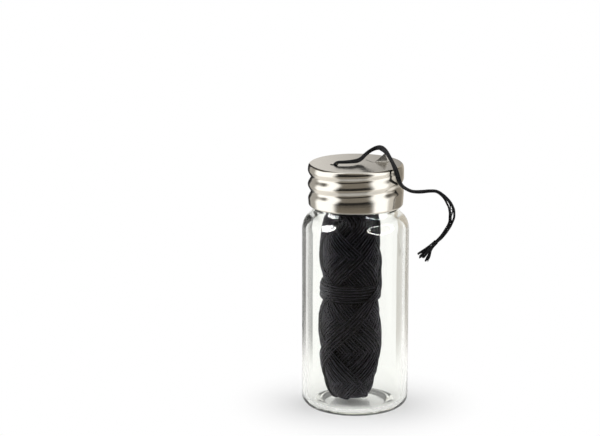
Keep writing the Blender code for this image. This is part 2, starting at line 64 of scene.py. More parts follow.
# Glass vial
BODY_RADIUS = 0.0110
VIAL_HEIGHT = 0.04935
GLASS_WALL = 0.0012
FLOOR_THICKNESS = 0.0011
FLOOR_CORNER_RADIUS = 0.0013
FOOT_CORNER_RADIUS = 0.0021
PUSH_UP_RADIUS = 0.0066
PUSH_UP_RISE = 0.0005
SHOULDER_RISE = 0.0037
NECK_FILLET_RISE = 0.00126
NECK_RADIUS = 0.0085
NECK_LENGTH = 0.00835
LIP_RADIUS = 0.0005
SHOULDER_ARC_DEG = 60.0
SHOULDER_DROP_SHARE = 0.7
NECK_BORE = NECK_RADIUS - GLASS_WALL
NECK_FOOT_Z = VIAL_HEIGHT - NECK_LENGTH
SHOULDER_Z = NECK_FOOT_Z - SHOULDER_RISE
PUSH_UP_SIDE_SHARE = 0.35
COAT_FADE = 0.0003

# Rings of the vial's and the cap's sections
VIAL_SEGMENTS = 168
FLOOR_RING_RADII = (0.0, 0.003, 0.006)
WALL_TOP_Z = SHOULDER_Z - 0.002
WALL_INSIDE_FOOT_Z = 0.005
WALL_OUTSIDE_FOOT_Z = 0.004
WALL_RINGS = 14
NECK_RINGS = 52
CAP_SEGMENTS = 224
LID_RINGS_MM = (0.0, 2.0, 4.2, 6.4, 8.2, 9.2)
SKIRT_RINGS = 66
RING_GAP = 0.0001

# Screw thread
RIM_Z = NECK_FOOT_Z + 0.0014
THREAD_PITCH = 0.0030
BEAD_RADIUS = 0.00055
BEAD_HALF_WIDTH = 0.000825
BEAD_FADE_DEG = 22.0
BEAD_TURNS = 1.17
BEAD_START_DEG = -90.0
GROOVE_DEPTH = 0.00055
VALLEY_RADIUS = 0.00035
GROOVE_TURNS = 1.74
GROOVE_START_DEG = 90.0
GROOVE_START_RISE = 0.00225
GROOVE_FADE_DEG = 55.0

# Cap
SHEET = 0.00035
CAP_RADIUS = 0.00985
CAP_CORNER_RADIUS = 0.00042
CROWN_HEIGHT = 0.0014
CROWN_TAPER = 0.00024
SKIRT_HEIGHT = 0.0038
SKIRT_TAPER = 0.00020
RIM_CURL_RADIUS = 0.0005
LID_UNDER_Z = 0.05085
LID_TOP_Z = LID_UNDER_Z + SHEET
HOLE_RADIUS = 0.0008
HOLE_X = -0.00445
HOLE_Y = -0.00165
HOLE_FLARE = 0.00008
TONGUE_BASE = 0.0036
TONGUE_LENGTH = 0.0021
TONGUE_PEAK_SHARE = 0.74
TONGUE_X = 0.00349
TONGUE_Y = 0.00055
TONGUE_TURN_DEG = 12.7
TONGUE_SHIFT = (0.0, -0.0002, 0.00002)
TONGUE_BEND_DEG = 76.0
TONGUE_BEND_RADIUS = 0.0005
TONGUE_SHEET = 0.00028
TONGUE_TIP_WIDTH = 0.00006
TONGUE_EDGE = 0.00003
TONGUE_TEETH = 9
TOOTH_DEPTH = 0.000126
TOOTH_ROWS = 6
SLIT_LENGTH = 0.0029
SLIT_WIDTH = 0.0002
SLIT_TURN_DEG = 118.8

# Liner
LINER_LIP = 0.0004
LINER_EDGE = 0.00018

# Spool: its outline by shares of its height and radius, and (r, z) points that round off its ends
SPOOL_RADIUS = 0.0067
SPOOL_HEIGHT = 0.0422
SPOOL_BASE_Z = 0.0014
SPOOL_OFFSET = -0.0010
OUTLINE_HEIGHT_SHARES = (
    0.0, 0.012, 0.038, 0.085, 0.156, 0.251, 0.329, 0.438, 0.500,
    0.555, 0.610, 0.701, 0.820, 0.884, 0.934, 0.974, 1.0,
)
OUTLINE_RADIUS_SHARES = (
    0.50, 0.60, 0.70, 0.79, 0.89, 0.95, 1.0, 0.96, 0.87,
    0.84, 0.87, 0.965, 0.93, 0.90, 0.84, 0.74, 0.56,
)
OUTLINE_ENDS = (0.012, 0.985)
OUTLINE_SMOOTHING = 0.03
FOOT_LINE = ((0.0024, 0.0009), (0.0032, 0.0004))
HEAD_LINE = ((0.0034, 0.0421), (0.0026, 0.0418))

# Textures on floss: step from strand to strand, a strand's girth over its width, and the core's radius
TEXTURE_STEP_MM = 7.3
GIRTH_OVER_WIDTH = 2.2
CORE_RADIUS_MM = 6.0

# Winding: climbing and falling traverses take turns, and each lies beside the one six before it
FLOSS_WIDTH = 0.00055
WIDTH_SHARES = (0.84, 1.02)
FLOSS_THICKNESS = 0.00046
TRAVERSES = 96
TRAVERSE_POINTS = 84
STARTS = 3
TURNS_A_TRAVERSE = 1.17014
REVERSAL_SHARE = 0.05
LAY_DEPTH = 0.00048
DEPTH_JITTER = 0.00003
OVER_LIFT = 0.00013
CROSSING_SPREAD = 1.1
PROUD_TRAVERSES = 18
PROUD_LIFT = 0.00014
WANDER = 0.012

# Core: depth under the spool's surface, and heights of its ends over the spool's base
CORE_DEPTH = 0.00080
CORE_TOP = 0.0410
CORE_FOOT = 0.0014

# Turns round the waist, and the strands that cross them
BAND_MIDDLE_SHARE = 0.555
BAND_TURNS = 11
BAND_STEP = 0.00031
BAND_RADIUS = 0.00592
BAND_PROUD = 0.00030
BAND_SWAY = 0.00010
BAND_RIPPLE = 0.00006
BAND_UNEVENNESS = 0.00004
BAND_WIDTH = 0.00066
BAND_THICKNESS = 0.00032
CROSSING_DEG = (-46.0, -38.5, -31.0)
CROSSING_DEPTH = 0.00006
CROSSING_LIFT = 0.00112
CROSSING_REACH = 0.055

# Strand outside the cap, by the same points as in the model, with heights over the lid
STRAND_DIAMETER = 0.0007
STRAND_ROUTE_MM = (
    (-4.60, -1.62, -1.20), (-4.60, -1.62, -0.70), (-4.43, -1.65, -0.07), (-3.97, -1.74, 0.38),
    (-3.54, -1.83, 0.53), (-3.00, -1.90, 0.56), (-2.10, -1.90, 0.58), (-0.80, -1.62, 0.62),
    (0.30, -0.70, 0.62), (1.15, -0.05, 0.94), (1.95, 0.60, 1.59), (2.85, 1.00, 2.24),
    (3.95, 0.65, 2.90), (5.00, -0.70, 3.32), (5.90, -2.50, 2.98), (7.00, -4.65, 1.64),
    (7.95, -6.80, -0.15), (8.62, -6.25, -2.37), (9.18, -5.00, -3.57), (10.10, -3.90, -4.52),
    (11.28, -3.40, -5.13), (13.32, -3.00, -5.32), (15.00, -3.00, -5.20), (16.40, -3.00, -5.30),
    (17.71, -3.00, -6.15), (18.74, -3.00, -7.36), (19.43, -3.00, -8.74), (19.62, -3.00, -10.13),
    (19.32, -3.00, -11.87), (18.48, -3.00, -13.45), (17.50, -3.00, -14.84), (16.32, -3.00, -15.98),
)
STRAND_POINTS = 150
STRAND_THICKNESS = 0.00042
STRAND_WIDTH_SHARES = (0.0, 0.1, 0.28, 0.5, 0.62, 0.8, 0.9, 1.0)
STRAND_WIDTHS_MM = (0.46, 0.72, 0.95, 0.90, 0.6, 0.92, 0.98, 0.6)
STRAND_FILAMENTS = 36
STRAND_FILAMENT = 0.00017
TWIST_SWING = 0.9
TWIST_RATE = 19.0
TWIST_START = 0.6
FLAT_SHARE = 0.845
FLAT_REACH = 0.05
GOLDEN_TURN = 2.39996
FILAMENT_SWAY = 0.10

# Slits in the strand: share along it, reach, place across it from -1 to 1, opening
STRAND_SLITS = (
    (0.833, 0.018, 0.12, 0.00017),
    (0.862, 0.018, -0.15, 0.00017),
    (0.80, 0.02, 0.4, 0.00010),
)

# Frayed end: x and z of each finger's tip, all at the depth of the strand's own end
FRAY_TIPS = ((0.01277, 0.03286), (0.01313, 0.03208), (0.01380, 0.03210), (0.01449, 0.03136))
FRAY_Y = -0.003
FRAY_TIP_SPREAD = (0.00016, 0.00020, 0.00016)
FRAY_ACROSS = np.array((0.6, 0.0, -0.8))
FRAY_STEP = 0.00018
FRAY_FACING = (0.0, -1.0, 0.2)
FRAY_FILAMENT = 0.00018
FRAY_POINTS = 16
FINGER_FILAMENTS = 20
FILL_FILAMENTS = 40
FILL_REACH = (0.45, 0.74)

# Strand in the neck
FEED_POINTS = 40
FEED_WIDTH = 0.0006
FEED_THICKNESS = 0.0004
FEED_TWIST = 2.0
FEED_FILAMENTS = 26
FEED_FILAMENT = 0.00013

# Studio
FLOOR_Z = -0.00003

# Soft boxes in the world: azimuths from and to, soft edge, level, warmth
SIDE_BOXES = (
    (-150.0, -108.0, 8.0, 0.55, 0.04),
    (-112.0, -52.0, 8.0, 1.9, 0.0),
    (42.0, 82.0, 6.0, 1.9, 0.0),
    (84.0, 104.0, 6.0, 0.90, 0.04),
    (104.0, 165.0, 6.0, 0.32, 0.10),
)

# Table in front: distances from and to, and the level and warmth that it turns to there
TABLE_BANDS = ((0.05, 0.065, 0.46, 0.08), (0.075, 0.10, 0.26, 0.12), (0.12, 0.15, 0.035, 0.06))

# Soft boxes as objects: name, azimuth, rise, width, height, share of the open middle, strength
SOFTBOXES = (
    ("oval_box", -72.0, 33.0, 0.27, 0.36, 0.0, 105.0),
    ("ring_box", 63.0, 31.0, 0.64, 0.47, 0.74, 62.0),
)
SOFTBOX_DISTANCE = 0.5
SOFTBOX_AIM_Z = 0.04

# Lamps: name, place and watts
LAMPS = (
    ("left_lamp", (-0.42, 0.03, 0.34), 1.75),
    ("right_lamp", (0.42, 0.05, 0.34), 1.40),
    ("top_lamp", (0.0, 0.10, 0.60), 0.70),
)
LAMP_SIZE = 0.80
LAMP_AIM_Z = 0.025


# Camera
def make_camera():
    data = bpy.data.cameras.new("camera")
    data.lens = CAMERA_LENS
    data.clip_start = 0.01
    data.clip_end = 20.0
    camera = bpy.data.objects.new("camera", data)
    camera.location = CAMERA_PLACE
    camera.rotation_euler = (math.pi / 2 - CAMERA_TILT, 0.0, 0.0)
    bpy.context.scene.collection.objects.link(camera)
    bpy.context.scene.camera = camera


# Meshes
def smooth_step(share):
    share = np.clip(share, 0.0, 1.0)
    return share * share * (3.0 - 2.0 * share)


def hill(value, middle, reach):
    """1 at the middle, and next to nothing at twice the reach."""
    return np.exp(-(((value - middle) / reach) ** 2))


def smoothed(values, span):
    """A running mean over an odd number of values."""
    return np.convolve(np.pad(values, span // 2, mode="edge"), np.ones(span) / span, "valid")


def random_phase():
    return random.uniform(0, 6)


def random_wave(t, slow, fast):
    """A sine along t with a random rate and phase."""
    return np.sin(t * random.uniform(slow, fast) + random_phase())


def through(points, samples=24):
    """A dense smooth curve through given points (centripetal form)."""
    pts = [Vector(p) for p in points]
    pts = [pts[0] * 2 - pts[1]] + pts + [pts[-1] * 2 - pts[-2]]
    dense = []
    for a, b, c, d in zip(pts, pts[1:], pts[2:], pts[3:]):
        t1 = (b - a).length ** 0.5
        t2 = t1 + (c - b).length ** 0.5
        t3 = t2 + (d - c).length ** 0.5
        for i in range(samples):
            t = t1 + (t2 - t1) * i / samples
            ab = a.lerp(b, t / t1)
            bc = b.lerp(c, (t - t1) / (t2 - t1))
            cd = c.lerp(d, (t - t2) / (t3 - t2))
            abc = ab.lerp(bc, t / t2)
            bcd = bc.lerp(cd, (t - t1) / (t3 - t1))
            dense.append(abc.lerp(bcd, (t - t1) / (t2 - t1)))
    dense.append(pts[-2])
    return np.array([tuple(p) for p in dense])


def run_along(line):
    """Length from a line's start to each of its points."""
    return np.concatenate([[0.0], np.cumsum(np.linalg.norm(np.diff(line, axis=0), axis=1))])


def evenly(line, count):
    """A number of points at equal steps along a dense curve."""
    along = run_along(line)
    places = np.linspace(0.0, along[-1], count)
    return np.stack([np.interp(places, along, column) for column in line.T], axis=1)


def unit(rows):
    return rows / np.maximum(np.linalg.norm(rows, axis=1, keepdims=True), 1e-12)


def new_object(name, verts, faces, material, uvs=None, degrees=35.0):
    mesh = bpy.data.meshes.new(name)
    mesh.from_pydata([tuple(v) for v in verts], [], faces)
    if uvs:
        mesh.uv_layers.new(name="Along")
        mesh.uv_layers["Along"].data.foreach_set("uv", np.asarray(uvs, np.float32).ravel())
    mesh.materials.append(material)
    mesh.shade_smooth()
    if degrees:
        mesh.set_sharp_from_angle(angle=math.radians(degrees))
    thing = bpy.data.objects.new(name, mesh)
    bpy.context.scene.collection.objects.link(thing)
    return thing


def unseen_by(thing, *rays):
    """Hides a thing from some kinds of rays."""
    for kind in rays:
        setattr(thing, "visible_" + kind, False)


def spun(rings, segments, shift=None):
    """Vertices and faces of (r, z) rings spun round Z. shift moves a ring's radius by angle."""
    verts, rows = [], []
    for r, z in rings:
        if r == 0.0:
            rows.append([len(verts)])
            verts.append((0.0, 0.0, z))
            continue
        rows.append(list(range(len(verts), len(verts) + segments)))
        for i in range(segments):
            turn = math.tau * i / segments
            radius = r + (shift(r, z, turn) if shift else 0.0)
            verts.append((radius * math.cos(turn), radius * math.sin(turn), z))
    faces = []
    for upper, lower in zip(rows, rows[1:]):
        for i in range(segments):
            j = (i + 1) % segments
            if len(upper) == 1:
                faces.append((upper[0], lower[i], lower[j]))
            elif len(lower) == 1:
                faces.append((upper[i], lower[0], upper[j]))
            else:
                faces.append((upper[i], lower[i], lower[j], upper[j]))
    return verts, faces


def arc(centre_r, centre_z, radius, start_deg, end_deg, steps):
    turns = [math.radians(start_deg + (end_deg - start_deg) * i / steps) for i in range(steps + 1)]
    return [(centre_r + radius * math.cos(t), centre_z + radius * math.sin(t)) for t in turns]


class Strands:
    """Flat strands in one mesh, with UVs in millimetres along and round each.

    crown goes from -1 to 1, and is highest on the side that a strand's normals point to.
    """

    def __init__(self):
        self.verts, self.faces, self.uvs, self.crown, self.count = [], [], [], [], 0

    def add(self, line, normals, width, thickness, sides=6, phase=0.0):
        ahead = unit(np.gradient(line, axis=0))
        across = unit(np.cross(ahead, normals))
        up = np.cross(across, ahead)
        width = np.broadcast_to(width, len(line))
        thickness = np.broadcast_to(thickness, len(line))
        turns = math.tau * (np.arange(sides) + phase) / sides
        rings = (
            line[:, None]
            + across[:, None] * (width[:, None] / 2 * np.cos(turns))[..., None]
            + up[:, None] * (thickness[:, None] / 2 * np.sin(turns))[..., None]
        )
        run = run_along(line) / MM + TEXTURE_STEP_MM * len(self.verts)
        girth = GIRTH_OVER_WIDTH * width.mean() / MM
        round_it = girth * np.arange(sides + 1) / sides
        self.verts.append(rings.reshape(-1, 3))
        self.crown.append(np.broadcast_to(np.sin(turns), (len(line), sides)).ravel())
        last = len(line) - 1
        for i in range(last):
            a, b = self.count + i * sides, self.count + (i + 1) * sides
            for j in range(sides):
                k = (j + 1) % sides
                self.faces.append((a + j, a + k, b + k, b + j))
                low, high = round_it[j], round_it[j + 1]
                self.uvs += [(run[i], low), (run[i], high), (run[i + 1], high), (run[i + 1], low)]
        for i, end in ((0, range(sides)[::-1]), (last, range(sides))):
            self.faces.append(tuple(self.count + i * sides + j for j in end))
            self.uvs += [(run[i], round_it[j]) for j in end]
        self.count += len(line) * sides

    def build(self, name, material, degrees=50.0):
        thing = new_object(name, np.concatenate(self.verts), self.faces, material, self.uvs, degrees)
        crown = thing.data.attributes.new("crown", "FLOAT", "POINT")
        crown.data.foreach_set("value", np.concatenate(self.crown).astype(np.float32))
        return thing


# Materials
class Nodes:
    """A short way to write node trees. In put, i0 is the first input, and _ stands for a space in a name."""

    def __init__(self, tree):
        self.tree = tree

    def new(self, kind, **settings):
        node = self.tree.nodes.new(kind)
        for key, value in settings.items():
            setattr(node, key, value)
        return node

    def put(self, node, **values):
        for key, value in values.items():
            socket = node.inputs[int(key[1:])] if key[1:].isdigit() else node.inputs[key.replace("_", " ")]
            if isinstance(value, bpy.types.NodeSocket):
                self.tree.links.new(value, socket)
            else:
                socket.default_value = value
        return node

    def maths(self, operation, a, b=0.0):
        node = self.new("ShaderNodeMath", operation=operation)
        self.put(node, i0=a, i1=b)
        return node.outputs[0]

    def times(self, a, b):
        return self.maths("MULTIPLY", a, b)

    def ramp(self, value, low, high, start=0.0, end=1.0, kind="SMOOTHSTEP"):
        """Goes from start to end as value goes from low to high, and stays level outside."""
        node = self.new("ShaderNodeMapRange", interpolation_type=kind)
        self.put(node, Value=value, From_Min=low, From_Max=high, To_Min=start, To_Max=end)
        return node.outputs["Result"]

    def mix(self, share, a, b):
        """Colour a where share is 0, and b where it is 1."""
        node = self.new("ShaderNodeMix", data_type="RGBA")
        self.put(node, i0=share, i6=a, i7=b)
        return node.outputs[2]

    def noise(self, vector, scale, detail=3.0, rough=0.55, stretch=None):
        if stretch:
            mapping = self.new("ShaderNodeMapping")
            self.put(mapping, Vector=vector, Scale=stretch)
            vector = mapping.outputs[0]
        node = self.new("ShaderNodeTexNoise")
        self.put(node, Vector=vector, Scale=scale, Detail=detail, Roughness=rough)
        return node.outputs["Fac"]

    def coordinates(self, kind="Object"):
        return self.new("ShaderNodeTexCoord").outputs[kind]

    def position(self):
        return self.new("ShaderNodeNewGeometry").outputs["Position"]

    def parts(self, vector):
        """x, y and z of a vector."""
        node = self.new("ShaderNodeSeparateXYZ")
        self.put(node, Vector=vector)
        return node.outputs

    def glow(self, colour, strength=1.0):
        node = self.new("ShaderNodeEmission")
        self.put(node, Color=colour, Strength=strength)
        return node.outputs[0]

    def blend(self, share, a, b):
        """Shader a where share is 0, and b where it is 1."""
        node = self.new("ShaderNodeMixShader")
        self.put(node, i0=share, i1=a, i2=b)
        return node.outputs[0]

    def show(self, **shaders):
        self.put(self.tree.nodes["Material Output"], **shaders)

    def bump(self, height, strength, distance, normal=None):
        node = self.new("ShaderNodeBump")
        self.put(node, Height=height, Strength=strength, Distance=distance)
        if normal is not None:
            self.put(node, Normal=normal)
        return node.outputs[0]


def new_material(name):
    material = bpy.data.materials.new(name)
    material.use_nodes = True
    tree = material.node_tree
    return material, Nodes(tree), tree.nodes["Principled BSDF"]


def glass_material():
    """Clear glass with a faint wave, tinted where it is thick. The coat ends at the neck's foot."""
    material, n, shader = new_material("glass_clear")
    n.put(shader, Base_Color=(0.985, 0.99, 0.975, 1.0), Roughness=0.0, IOR=1.5,
          Transmission_Weight=1.0, Specular_Tint=(0.12, 0.12, 0.12, 1.0),
          Coat_Roughness=0.05, Coat_IOR=1.5)
    volume = n.new("ShaderNodeVolumeAbsorption")
    n.put(volume, Color=(0.87, 0.90, 0.68, 1.0), Density=30.0)
    place = n.coordinates()
    wave = n.noise(place, 160.0, detail=1.0, rough=0.4, stretch=(1.0, 1.0, 0.35))
    n.put(shader, Normal=n.bump(wave, strength=0.35, distance=0.00012))
    low, high = NECK_FOOT_Z - COAT_FADE, NECK_FOOT_Z + COAT_FADE
    n.put(shader, Coat_Weight=n.ramp(n.parts(place)[2], low, high, start=0.11, end=0.0))
    n.show(Volume=volume.outputs[0])
    return material


def steel_material(name, roughness, brushed, tone=1.0):
    """Steel with faint clouds, brushed along X or with fine level lines."""
    material, n, shader = new_material(name)
    place = n.coordinates()
    cloud = n.noise(place, 220.0, detail=4.0, rough=0.6)
    grain = (0.16, 3.0, 1.0) if brushed else (1.0, 1.0, 6.0)
    fine = n.noise(place, 900.0, rough=0.6, stretch=grain)
    # A tone below 1 makes a darker copy of this steel: painted shade.
    dark = (0.556 * tone, 0.532 * tone, 0.482 * tone, 1.0)
    light = (0.636 * tone, 0.609 * tone, 0.553 * tone, 1.0)
    n.put(shader, Base_Color=n.mix(cloud, dark, light), Metallic=1.0)
    n.put(shader, Roughness=n.ramp(fine, 0.3, 0.7, roughness * 0.8, roughness * 1.25, "LINEAR"))
    soft = n.bump(cloud, strength=0.15, distance=0.00008)
    n.put(shader, Normal=n.bump(fine, 0.25 if brushed else 0.06, 0.00002, soft))
    return material


def floss_material(name, dark, light, painted_valley_shade=0.0):
    """Waxed filaments. painted_valley_shade is painted shade: how far a strand's flanks go to black, and the
    core is all flank.
    """
    material, n, shader = new_material(name)
    along = n.new("ShaderNodeUVMap", uv_map="Along").outputs[0]
    fibres = n.noise(along, 1.0, rough=0.6, stretch=(0.9, 9.0, 1.0))
    tufts = n.noise(along, 1.0, detail=2.0, rough=0.5, stretch=(0.35, 1.6, 1.0))
    tone = n.times(n.ramp(fibres, 0.3, 0.72), n.ramp(tufts, 0.25, 0.75, 0.35, 1.0))
    colour = n.mix(tone, dark, light)
    if painted_valley_shade:
        # Painted shade: the flanks go towards black where shade falls between strands.
        crown = n.new("ShaderNodeAttribute", attribute_name="crown").outputs["Fac"]
        flank = n.ramp(crown, 0.50, 0.97, start=painted_valley_shade, end=0.0)
        colour = n.mix(flank, colour, (0.0015, 0.0015, 0.0015, 1.0))
    n.put(shader, Base_Color=colour, Specular_IOR_Level=0.03 if painted_valley_shade else 0.2)
    n.put(shader, Roughness=n.ramp(fibres, 0.2, 0.8, 0.62, 0.42, "LINEAR"))
    n.put(shader, Normal=n.bump(fibres, strength=0.8, distance=0.00006))
    return material


def liner_material():
    material, n, shader = new_material("liner_white")
    place = n.coordinates()
    grain = n.noise(place, 1400.0, rough=0.6)
    n.put(shader, Base_Color=n.mix(grain, (0.76, 0.76, 0.73, 1.0), (0.86, 0.86, 0.84, 1.0)))
    n.put(shader, Roughness=n.ramp(grain, 0.3, 0.7, 0.5, 0.7, "LINEAR"))
    n.put(shader, Normal=n.bump(grain, strength=0.3, distance=0.00002))
    return material


# Vial
def shoulder(neck_r, width, base_z, rise, fillet_z, steps=10, fillet_steps=8):
    """(r, z) points up a shoulder's arc, and round a fillet into the neck."""
    points = []
    for i in range(steps + 1):
        turn = math.radians(SHOULDER_ARC_DEG * i / steps)
        points.append((neck_r + width * math.cos(turn), base_z + rise * math.sin(turn)))
    r, z = points[-1]
    bend = (neck_r, z + (r - neck_r) * rise * math.cos(turn) / (width * math.sin(turn)))
    ends = ((r, z), bend, (neck_r, fillet_z))
    for i in range(1, fillet_steps + 1):
        share = i / fillet_steps
        back = 1.0 - share
        weights = (back * back, 2 * back * share, share * share)
        points.append(tuple(sum(w * e[k] for w, e in zip(weights, ends)) for k in (0, 1)))
    return points


def thread_z(degrees):
    """Height of the lid's groove at an angle that counts on from lap to lap."""
    return RIM_Z + GROOVE_START_RISE + THREAD_PITCH * (degrees - GROOVE_START_DEG) / 360


def bead_rise(r, z, turn):
    """The moulded thread on the neck, as a swelling of its outer face."""
    if r < NECK_RADIUS - 1e-7 or z < NECK_FOOT_Z or z > VIAL_HEIGHT - LIP_RADIUS:
        return 0.0
    most = 0.0
    for lap in range(-1, 3):
        degrees = math.degrees(turn) + 360 * lap
        inside = min(degrees - BEAD_START_DEG, BEAD_START_DEG + 360 * BEAD_TURNS - degrees)
        off = abs(z - thread_z(degrees) - THREAD_PITCH / 2) / BEAD_HALF_WIDTH
        if inside > 0 and off < 1:
            fade = smooth_step(inside / BEAD_FADE_DEG)
            most = max(most, math.cos(off * math.pi / 2) ** 2 * fade)
    return BEAD_RADIUS * most


def build_vial(material):
    bore = BODY_RADIUS - GLASS_WALL
    width = BODY_RADIUS - NECK_RADIUS
    fillet_z = NECK_FOOT_Z + NECK_FILLET_RISE
    drop = GLASS_WALL * SHOULDER_DROP_SHARE
    lip_z = VIAL_HEIGHT - LIP_RADIUS
    rings = [(r, FLOOR_THICKNESS) for r in FLOOR_RING_RADII]
    rings += arc(bore - FLOOR_CORNER_RADIUS, FLOOR_THICKNESS + FLOOR_CORNER_RADIUS,
                 FLOOR_CORNER_RADIUS, -90, 0, 12)
    rings += [(bore, z) for z in np.linspace(WALL_INSIDE_FOOT_Z, WALL_TOP_Z, WALL_RINGS)]
    rings += shoulder(NECK_BORE, width, SHOULDER_Z, SHOULDER_RISE - drop, fillet_z - drop)
    rings += [(NECK_BORE, z) for z in np.linspace(fillet_z, lip_z - LIP_RADIUS, 5)]
    rings += arc(NECK_BORE + LIP_RADIUS, lip_z, LIP_RADIUS, 180, 90, 7)
    rings += arc(NECK_RADIUS - LIP_RADIUS, lip_z, LIP_RADIUS, 90, 0, 7)
    rings += [(NECK_RADIUS, z) for z in np.linspace(lip_z - RING_GAP, fillet_z + RING_GAP, NECK_RINGS)]
    rings += shoulder(NECK_RADIUS, width, SHOULDER_Z, SHOULDER_RISE, fillet_z)[::-1]
    rings += [(BODY_RADIUS, z) for z in np.linspace(WALL_TOP_Z, WALL_OUTSIDE_FOOT_Z, WALL_RINGS)]
    rings += arc(BODY_RADIUS - FOOT_CORNER_RADIUS, FOOT_CORNER_RADIUS,
                 FOOT_CORNER_RADIUS, 0, -90, 14)
    for r, z in arc(0.0, 0.0, 1.0, 0, 90, 8):
        rings.append((PUSH_UP_RADIUS * (1.0 - PUSH_UP_SIDE_SHARE * (1.0 - r)), PUSH_UP_RISE * z))
    rings += [(r, PUSH_UP_RISE) for r in FLOOR_RING_RADII[1::-1]]
    verts, faces = spun(rings, VIAL_SEGMENTS, bead_rise)
    vial = new_object("vial_glass", verts, faces, material, degrees=0)
    unseen_by(vial, "diffuse", "shadow")
    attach(vial, "vial")
    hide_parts("glass_vial")
    return vial


# Cap
def groove_dent(r, z, turn):
    """How far the rolled groove pulls the skirt in at a place."""
    if z > LID_TOP_Z - CAP_CORNER_RADIUS or r < CAP_RADIUS - SHEET - 2 * CROWN_TAPER:
        return 0.0
    deepest = 0.0
    last = GROOVE_START_DEG + 360 * GROOVE_TURNS
    for lap in range(-1, 4):
        degrees = math.degrees(turn) + 360 * lap
        inside = min(degrees - GROOVE_START_DEG, last - degrees)
        off = math.hypot(z - thread_z(degrees), VALLEY_RADIUS) - VALLEY_RADIUS
        off /= math.hypot(THREAD_PITCH / 2, VALLEY_RADIUS) - VALLEY_RADIUS
        if inside > 0 and off < 1:
            fade = smooth_step(inside / GROOVE_FADE_DEG)
            deepest = max(deepest, (1.0 - math.sin(off * math.pi / 2)) * fade)
    return -GROOVE_DEPTH * deepest


def crowned(r, z):
    """A radius of the cap, drawn in a little towards the lid and towards the rim."""
    top = max(0.0, 1.0 - (LID_TOP_Z - z) / CROWN_HEIGHT)
    low = max(0.0, 1.0 - (z - RIM_Z) / SKIRT_HEIGHT)
    return r * (1.0 - (CROWN_TAPER * top * top + SKIRT_TAPER * low * low) / CAP_RADIUS)


def on_lid(turn_deg):
    middle = (TONGUE_X, TONGUE_Y, LID_UNDER_Z + SHEET / 2)
    return Matrix.Translation(middle) @ Matrix.Rotation(math.radians(turn_deg), 4, "Z")


def prism(name, outline, turn_deg, material):
    """A closed prism over an outline of (x, y) points, deep enough to pass through the lid."""
    n = len(outline)
    verts = [(x, y, z) for z in (-SHEET, SHEET) for x, y in outline]
    faces = [tuple(reversed(range(n))), tuple(range(n, 2 * n))]
    faces += [(i, (i + 1) % n, n + (i + 1) % n, n + i) for i in range(n)]
    thing = new_object(name, verts, faces, material, degrees=0)
    thing.matrix_world = on_lid(turn_deg)
    return thing


def cut(thing, cutters):
    """Takes the cutters out of a mesh for good, and removes them."""
    for cutter in cutters:
        boolean = thing.modifiers.new(cutter.name, "BOOLEAN")
        boolean.object = cutter
        boolean.solver = "EXACT"
    depsgraph = bpy.context.evaluated_depsgraph_get()
    mesh = bpy.data.meshes.new_from_object(thing.evaluated_get(depsgraph))
    thing.modifiers.clear()
    thing.data = mesh
    for cutter in cutters:
        bpy.data.objects.remove(cutter, do_unlink=True)


def cap_rings():
    """The cap's section, from the lid's middle down the outside, round the rim and back up the inside."""
    inner = CAP_RADIUS - SHEET
    curl_r, low_z = CAP_RADIUS - RIM_CURL_RADIUS, RIM_Z + RIM_CURL_RADIUS
    corner_r, corner_z = CAP_RADIUS - CAP_CORNER_RADIUS, LID_TOP_Z - CAP_CORNER_RADIUS
    rings = [(r * MM, LID_TOP_Z) for r in LID_RINGS_MM]
    rings += arc(corner_r, corner_z, CAP_CORNER_RADIUS, 90, 0, 10)
    rings += [(CAP_RADIUS, z) for z in np.linspace(corner_z - RING_GAP, low_z + RING_GAP, SKIRT_RINGS)]
    rings += arc(curl_r, low_z, RIM_CURL_RADIUS, 0, -90, 8)
    rings += arc(curl_r, RIM_Z + SHEET / 2, SHEET / 2, -100, -260, 6)
    rings += arc(curl_r, low_z, RIM_CURL_RADIUS - SHEET, -80, 0, 4)
    rings += [(inner, z) for z in np.linspace(low_z + RING_GAP, corner_z - RING_GAP, SKIRT_RINGS)]
    rings += arc(corner_r, corner_z, CAP_CORNER_RADIUS - SHEET, 0, 90, 6)
    return rings + [(r * MM, LID_UNDER_Z) for r in LID_RINGS_MM[-2::-1]]


def hole_cutter(material):
    """A body whose sides flare a little at both faces of the lid."""
    wide = HOLE_RADIUS + HOLE_FLARE
    rings = [(0.0, LID_TOP_Z + SHEET), (wide + SHEET, LID_TOP_Z + SHEET), (wide, LID_TOP_Z),
             (HOLE_RADIUS, LID_TOP_Z - HOLE_FLARE), (HOLE_RADIUS, LID_UNDER_Z + HOLE_FLARE),
             (wide, LID_UNDER_Z), (wide + SHEET, LID_UNDER_Z - SHEET), (0.0, LID_UNDER_Z - SHEET)]
    hole = new_object("hole", *spun(rings, 48), material)
    hole.location = (HOLE_X, HOLE_Y, 0.0)
    return hole


def build_cap(side, lid):
    verts, faces = spun([(crowned(r, z), z) for r, z in cap_rings()], CAP_SEGMENTS, groove_dent)
    cap = new_object("cap_shell", verts, faces, side)
    peak = (TONGUE_BASE * TONGUE_PEAK_SHARE, TONGUE_LENGTH)
    half, end = SLIT_WIDTH / 2, SLIT_LENGTH
    cutters = [
        prism("window", [(0.0, 0.0), (TONGUE_BASE, 0.0), peak], TONGUE_TURN_DEG, side),
        prism("slit", [(0.0, -half), (end, -half), (end + half, 0.0), (end, half), (0.0, half)],
              SLIT_TURN_DEG, side),
        hole_cutter(side),
    ]
    bpy.context.view_layer.update()
    cut(cap, cutters)
    cap.data.materials.clear()
    for material in (side, lid):
        cap.data.materials.append(material)
    cap.data.shade_smooth()
    for face in cap.data.polygons:
        on_top = face.normal.z > 0.98 and face.center.z > LID_TOP_Z - 0.00003
        face.material_index = 1 if on_top else 0
    cap.data.set_sharp_from_angle(angle=math.radians(28.0))
    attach(cap, "cap")
    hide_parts("screw_cap")


